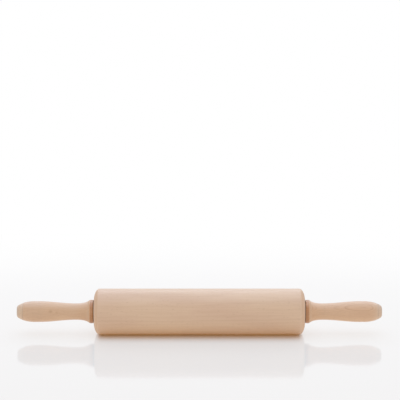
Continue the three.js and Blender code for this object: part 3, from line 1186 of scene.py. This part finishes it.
print("steels:", [item.name for item in bpy.data.materials if "steel" in item.name])

# %% [markdown]
# ## Nylon
# The cage of a bearing is moulded in natural nylon: creamy, faintly cloudy and finely textured by the
# mould. Two clouds are enough, a slow one for the colour and a fine one for the skin.

# %% Nylon
NYLON_CLOUD = 2.5
NYLON_CREAM = (0.79, 0.745, 0.645, 1)
NYLON_AMBER = (0.73, 0.67, 0.54, 1)
NYLON_SKIN = 0.15
NYLON_SKIN_HEIGHT = 0.02 * MM
NYLON_RELIEF = 0.5
NYLON_ROUGHNESS = (0.42, 0.66)

moulded_nylon, tree, shader = new_material("moulded_cage_nylon")
place = place_in_mm(tree)
milky = ease(tree, cloud(tree, scaled(tree, place, 1 / NYLON_CLOUD)), *NOISE_RANGE)
skin = cloud(tree, scaled(tree, place, 1 / NYLON_SKIN))
colour = mix_colours(tree, milky, NYLON_CREAM, NYLON_AMBER)
feed_inputs(tree, shader, Base_Color=colour, Roughness=spread(tree, skin, *NYLON_ROUGHNESS))
raise_surface(tree, shader, skin, NYLON_RELIEF, NYLON_SKIN_HEIGHT)
print("nylon skin in mm:", NYLON_SKIN)

# %% [markdown]
# ## Bearing rings
# In each end of the roller sits a shielded ball bearing of the common 8 by 22 by 7 mm size. Its two rings
# are ground from steel, each with a groove for the balls. Both grooves are arcs of one circle, drawn round
# the middle of the balls, and each outline cuts that circle at the height of its own shoulder. The pieces
# are made for the right-hand side, and their copies are turned round for the left.

# %% Bearing rings
RING_STEPS = 96
RACE_STEPS = 16
RING_CHAMFER = 0.4
RING_BORE = 4.15
PITCH_RADIUS = 7.5  # of the circle through the middles of the balls
RACE_RADIUS = 2.185
INNER_SHOULDER = 6.215
OUTER_SHOULDER = 8.785
SHIELD_SEAT = 9.585
SHIELD_LEDGE = 2.985  # from the middle of the bearing

ring_low, ring_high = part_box("right_bearing_outer_ring")
bearing_middle = (ring_low.x + ring_high.x) / 2 / MM
bearing_half = (ring_high.x - ring_low.x) / 2 / MM
bearing_radius = (ring_high.z - axle_height) / MM
race_circle = (RACE_RADIUS, RACE_RADIUS)


def in_bearing(outline):
    """Moves an outline that is drawn round the middle of a bearing to the bearing on the right."""
    return [(bearing_middle + along, radius) for along, radius in outline]


def settle_pair(piece, node, material):
    """Settles a piece on the right-hand side, and its copy, turned round, on the left."""
    copy = copy_of(piece, piece.name.replace("right", "left"))
    turn_end_for_end()
    settle(piece, "right_" + node, material)
    settle(copy, "left_" + node, material)


outer_turn = math.degrees(math.acos((OUTER_SHOULDER - PITCH_RADIUS) / RACE_RADIUS))
outer_outline = [
    (-bearing_half, bearing_radius - RING_CHAMFER),
    (RING_CHAMFER - bearing_half, bearing_radius),
    (bearing_half - RING_CHAMFER, bearing_radius),
    (bearing_half, bearing_radius - RING_CHAMFER),
    (bearing_half, SHIELD_SEAT),
    (SHIELD_LEDGE, SHIELD_SEAT),
    (SHIELD_LEDGE, OUTER_SHOULDER),
    *arc((0, PITCH_RADIUS), race_circle, outer_turn, -outer_turn, RACE_STEPS),
    (-SHIELD_LEDGE, OUTER_SHOULDER),
    (-SHIELD_LEDGE, SHIELD_SEAT),
    (-bearing_half, SHIELD_SEAT),
]
inner_turn = math.degrees(math.acos((PITCH_RADIUS - INNER_SHOULDER) / RACE_RADIUS))
inner_outline = [
    (bearing_half, RING_BORE + RING_CHAMFER),
    (bearing_half - RING_CHAMFER, RING_BORE),
    (RING_CHAMFER - bearing_half, RING_BORE),
    (-bearing_half, RING_BORE + RING_CHAMFER),
    (-bearing_half, INNER_SHOULDER),
    *arc((0, PITCH_RADIUS), race_circle, 180 + inner_turn, 180 - inner_turn, RACE_STEPS),
    (bearing_half, INNER_SHOULDER),
]
outer_ring = turn_on_lathe("right_ground_outer_ring", in_bearing(closed(outer_outline)), RING_STEPS)
inner_ring = turn_on_lathe("right_ground_inner_ring", in_bearing(closed(inner_outline)), RING_STEPS)
settle_pair(outer_ring, "bearing_outer_ring", ground_steel)
settle_pair(inner_ring, "bearing_inner_ring", ground_steel)

# %% [markdown]
# ## Shields
# A thin washer is pressed into each side of the outer ring and keeps flour out. The press leaves a shallow
# step in it, which stiffens it. A flat disc with a hole would miss that step, so the washer is turned from
# its outline too, and its edges are broken a little by a bevel modifier.

# %% Shields
SHIELD_HOLE = 6.415
SHIELD_RIM = 9.435
SHIELD_BACK = 3.085  # from the middle of the bearing
SHIELD_FRONT = 3.385
STEP_RADIUS = 8
STEP_SLOPE = 0.15
STEP_DEPTH = 0.1
SHIELD_EDGE = 0.05
BROKEN_EDGE_STEPS = 2


def modify(piece, kind, **settings):
    """Gives a piece a modifier with these settings, and applies it."""
    pick(piece)
    bpy.ops.object.modifier_add(type=kind)
    modifier = piece.modifiers[-1]
    for name, value in settings.items():
        setattr(modifier, name, value)
    bpy.ops.object.modifier_apply(modifier=modifier.name)


def break_edges(piece, width):
    """Rounds every sharp edge of a piece, as a file would."""
    modify(
        piece,
        "BEVEL",
        width=width * MM,
        segments=BROKEN_EDGE_STEPS,
        limit_method="ANGLE",
        angle_limit=math.radians(TURNING_SEAM),
    )
    shade_smooth()


shield_outline = closed([
    (SHIELD_BACK, SHIELD_RIM),
    (SHIELD_FRONT, SHIELD_RIM),
    (SHIELD_FRONT, STEP_RADIUS + STEP_SLOPE),
    (SHIELD_FRONT - STEP_DEPTH, STEP_RADIUS - STEP_SLOPE),
    (SHIELD_FRONT - STEP_DEPTH, SHIELD_HOLE),
    (SHIELD_BACK - STEP_DEPTH, SHIELD_HOLE),
    (SHIELD_BACK - STEP_DEPTH, STEP_RADIUS - STEP_SLOPE),
    (SHIELD_BACK, STEP_RADIUS + STEP_SLOPE),
])
for place, outline in (("outer", shield_outline), ("inner", mirrored(shield_outline))):
    shield = turn_on_lathe(f"right_pressed_{place}_shield", in_bearing(outline), RING_STEPS)
    break_edges(shield, SHIELD_EDGE)
    settle_pair(shield, f"bearing_{place}_shield", pressed_steel)

# %% [markdown]
# ## Balls
# Seven polished balls run in each bearing. A globe with poles shows a pinch at each pole in its gloss, so a
# ball starts as a cube, is subdivided evenly and is then cast into a sphere. One is made at the middle of
# the frame, and each copy is moved to where the frame has that ball.

# %% Balls
BALL_COUNT = 7
BALL_RADIUS = 1.985
BALL_LEVELS = 4


def round_ball(name, radius):
    """A ball at the middle of the frame."""
    bpy.ops.mesh.primitive_cube_add(size=2 * radius * MM)
    ball = named(name)
    modify(ball, "SUBSURF", levels=BALL_LEVELS, render_levels=BALL_LEVELS)
    modify(ball, "CAST", factor=1, use_radius_as_size=False, size=radius * MM)
    bpy.ops.object.shade_smooth()
    return ball


def moved_copy(piece, name, place):
    copy = copy_of(piece, name)
    edit_all()
    bpy.ops.transform.translate(value=place)
    bpy.ops.object.mode_set(mode="OBJECT")
    return copy


def discard(piece):
    pick(piece)
    bpy.ops.object.delete()


def ball_place(side, number):
    low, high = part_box(f"{side}_bearing_ball_{number}")
    return (low + high) / 2


model_ball = round_ball("model_ball", BALL_RADIUS)
for side in ("left", "right"):
    for number in range(1, BALL_COUNT + 1):
        ball = moved_copy(model_ball, f"{side}_polished_ball_{number}", ball_place(side, number))
        settle(ball, f"{side}_bearing_ball_{number}", polished_steel)
discard(model_ball)

# %% [markdown]
# ## Cages
# A crown cage keeps the balls apart. It is a moulded ring with a round pocket for each ball, open on one
# side, and a slot between each two pockets leaves a pair of springy prongs. Modelling each prong by hand
# would be slow, and the mould itself shows the quick way: a plain ring, minus a ball for each pocket, minus
# a small block for each slot.

# %% Cages
CAGE_INNER = 6.9
CAGE_OUTER = 8.1
CAGE_BACK = 2.785  # behind the middle of the bearing
PRONG_HEIGHT = 1.1  # in front of it
POCKET_RADIUS = 2.285
SLOT_SIZE = (3.6, 0.9, 2.4)


def cut_away(piece, cutter):
    """Takes one piece out of another, and discards it."""
    modify(piece, "BOOLEAN", operation="DIFFERENCE", solver="EXACT", object=cutter)
    shade_smooth()
    discard(cutter)


cage_outline = band(-CAGE_BACK, PRONG_HEIGHT, CAGE_INNER, CAGE_OUTER)
cage = turn_on_lathe("right_moulded_cage", in_bearing(cage_outline), RING_STEPS)
model_pocket = round_ball("model_pocket", POCKET_RADIUS)
for number in range(1, BALL_COUNT + 1):
    pocket = moved_copy(model_pocket, "pocket", ball_place("right", number))
    cut_away(cage, pocket)
    between = 360 * (number - 1 / 2) / BALL_COUNT
    bpy.ops.mesh.primitive_cube_add(
        size=MM,
        scale=SLOT_SIZE,
        location=round_axle(bearing_middle + PRONG_HEIGHT, PITCH_RADIUS, between),
        rotation=(-math.radians(between), 0, 0),
    )
    cut_away(cage, bpy.context.object)
discard(model_pocket)
settle_pair(cage, "bearing_cage", moulded_nylon)

# %% [markdown]
# ## Spacers
# A small collar on the axle, between the bearing and the handle, keeps the handle off the roller. It is
# parted off a drawn tube on a lathe, so it is turned here too, and its edges are broken.

# %% Spacers
SPACER_EDGE = 0.15

spacer_low, spacer_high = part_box("right_spacer")
spacer_radius = (spacer_high.z - axle_height) / MM
spacer_outline = band(spacer_low.x / MM, spacer_high.x / MM, RING_BORE, spacer_radius)
spacer = turn_on_lathe("right_parted_spacer", spacer_outline, RING_STEPS)
break_edges(spacer, SPACER_EDGE)
settle_pair(spacer, "spacer", drawn_steel)

# %% [markdown]
# ## Retaining rings
# Behind each bearing a spring ring snaps into a groove of the axle. It is stamped from strip: an open ring
# with two ears, each with a hole for the pliers. A closed ring could be cut open, but spinning a small
# rectangle only part of the way round leaves the opening at once. The ears are extruded from the rim, and
# the holes are cut through them.

# %% Retaining rings
CLIP_STEP = 2  # degrees
CLIP_INNER = 3.75
CLIP_BAND = 5.35
CLIP_OPENING = 34  # degrees
CLIP_CORNERS = 4

clip_low, clip_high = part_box("right_retaining_ring")
clip_back = clip_low.x / MM
clip_front = clip_high.x / MM
clip_turn = 360 - CLIP_OPENING
corners = band(clip_back, clip_front, CLIP_INNER, CLIP_BAND)
places = [round_axle(along, radius, -CLIP_OPENING / 2) for along, radius in corners]
clip = draw_outline("right_stamped_clip", places)
bpy.ops.mesh.remove_doubles(threshold=WELD)
spin_round_axle(clip_turn // CLIP_STEP, clip_turn)
bpy.ops.mesh.fill_holes(sides=CLIP_CORNERS)
bpy.ops.mesh.select_all(action="SELECT")
bpy.ops.mesh.normals_make_consistent(inside=False)
bpy.ops.object.mode_set(mode="OBJECT")
print("clip turns", clip_turn, "degrees with", len(clip.data.polygons), "faces")

# %% Ears of the retaining rings
EAR_RADIUS = 6.95
EAR_ANGLE = 28  # degrees
FACING_OUT = 0.9  # how nearly a face's normal points away from the axle

ear_end = CLIP_OPENING / 2 + EAR_ANGLE
ear_growth = EAR_RADIUS / CLIP_BAND


def angle_from_top(place):
    return math.degrees(math.atan2(abs(place.y), place.z - axle_height))


def under_ear(face):
    outwards = face.center - Vector((face.center.x, 0, axle_height))
    faces_out = face.normal.dot(outwards.normalized()) > FACING_OUT
    return faces_out and angle_from_top(face.center) < ear_end


select_where(clip, "polygons", under_ear)
bpy.ops.mesh.extrude_region_move()
bpy.ops.transform.resize(value=(1, ear_growth, ear_growth), center_override=pin_middle)
bpy.ops.object.mode_set(mode="OBJECT")
half_opening = min(angle_from_top(point.co) for point in clip.data.vertices)
print("clip opens", round(2 * half_opening, 1), "degrees with", len(clip.data.polygons), "faces")

# %% Holes of the retaining rings
HOLE_STEPS = 32
EAR_HOLE = 0.55
DRILL_LENGTH = 3  # times the thickness of the ring
CLIP_EDGE = 0.06

hole_radius = (CLIP_BAND + EAR_RADIUS) / 2
hole_angle = (CLIP_OPENING + EAR_ANGLE) / 2
for angle in (hole_angle, -hole_angle):
    bpy.ops.mesh.primitive_cylinder_add(
        vertices=HOLE_STEPS,
        radius=EAR_HOLE * MM,
        depth=DRILL_LENGTH * (clip_front - clip_back) * MM,
        location=round_axle((clip_back + clip_front) / 2, hole_radius, angle),
        rotation=(0, math.pi / 2, 0),
    )
    cut_away(clip, bpy.context.object)
break_edges(clip, CLIP_EDGE)
settle_pair(clip, "retaining_ring", blackened_steel)

# %% [markdown]
# ## Axle
# The axle is a drawn rod with a groove for each retaining ring. Its ends are fluted, so that they bite into
# the handles. The rod is turned smooth first, and then rows of points in the fluted stretches are pushed
# towards the axle's own middle line, as a knurling wheel would press the flutes in.

# %% Axle
AXLE_STEPS = 48
AXLE_RADIUS = 4
AXLE_CHAMFER = 0.8
GROOVE_RADIUS = 3.6
GROOVE_SLACK = 0.1
FLUTE_LENGTH = 36
FLUTE_DEPTH = 0.35
FLUTE_RUN_OUT = 0.6

axle_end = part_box("axle")[1].x / MM
fluted_from = axle_end - FLUTE_LENGTH + FLUTE_RUN_OUT
fluted_to = axle_end - AXLE_CHAMFER
half_axle = [
    (clip_back - GROOVE_SLACK, AXLE_RADIUS),
    (clip_back - GROOVE_SLACK, GROOVE_RADIUS),
    (clip_front + GROOVE_SLACK, GROOVE_RADIUS),
    (clip_front + GROOVE_SLACK, AXLE_RADIUS),
    (axle_end - FLUTE_LENGTH, AXLE_RADIUS),
    (fluted_from, AXLE_RADIUS),
    (fluted_to, AXLE_RADIUS),
    (axle_end, AXLE_RADIUS - FLUTE_DEPTH - AXLE_CHAMFER),
    (axle_end, 0),
]
axle = turn_on_lathe("drawn_axle", both_ends(half_axle), AXLE_STEPS)
print("axle in mm:", [round(side / MM, 2) for side in axle.dimensions])

# %% Flutes of the axle
FLUTE_COUNT = 12
FLUTE_FLOOR = [0.5]  # shares of the way from one crest to the next
FLUTE_SIDES = [0.25, 0.75]
SIDE_DEPTH = FLUTE_DEPTH / 3
ROW_SLACK = 0.05


def press_flutes(rod, rows, depth):
    """Pushes in the rows of points that lie at these shares of the way from one crest to the next."""

    def in_row(point):
        share = (angle_from_top(point.co) * FLUTE_COUNT / 360) % 1
        along = abs(point.co.x) / MM
        fluted = fluted_from - RING_SLACK < along < fluted_to + RING_SLACK
        return fluted and any(abs(share - row) < ROW_SLACK for row in rows)

    select_where(rod, "vertices", in_row)
    shrink = 1 - depth / AXLE_RADIUS
    bpy.ops.transform.resize(value=(1, shrink, shrink), center_override=pin_middle)
    bpy.ops.object.mode_set(mode="OBJECT")


press_flutes(axle, FLUTE_FLOOR, FLUTE_DEPTH)
press_flutes(axle, FLUTE_SIDES, SIDE_DEPTH)
shade_smooth()
settle(axle, "axle", drawn_steel)
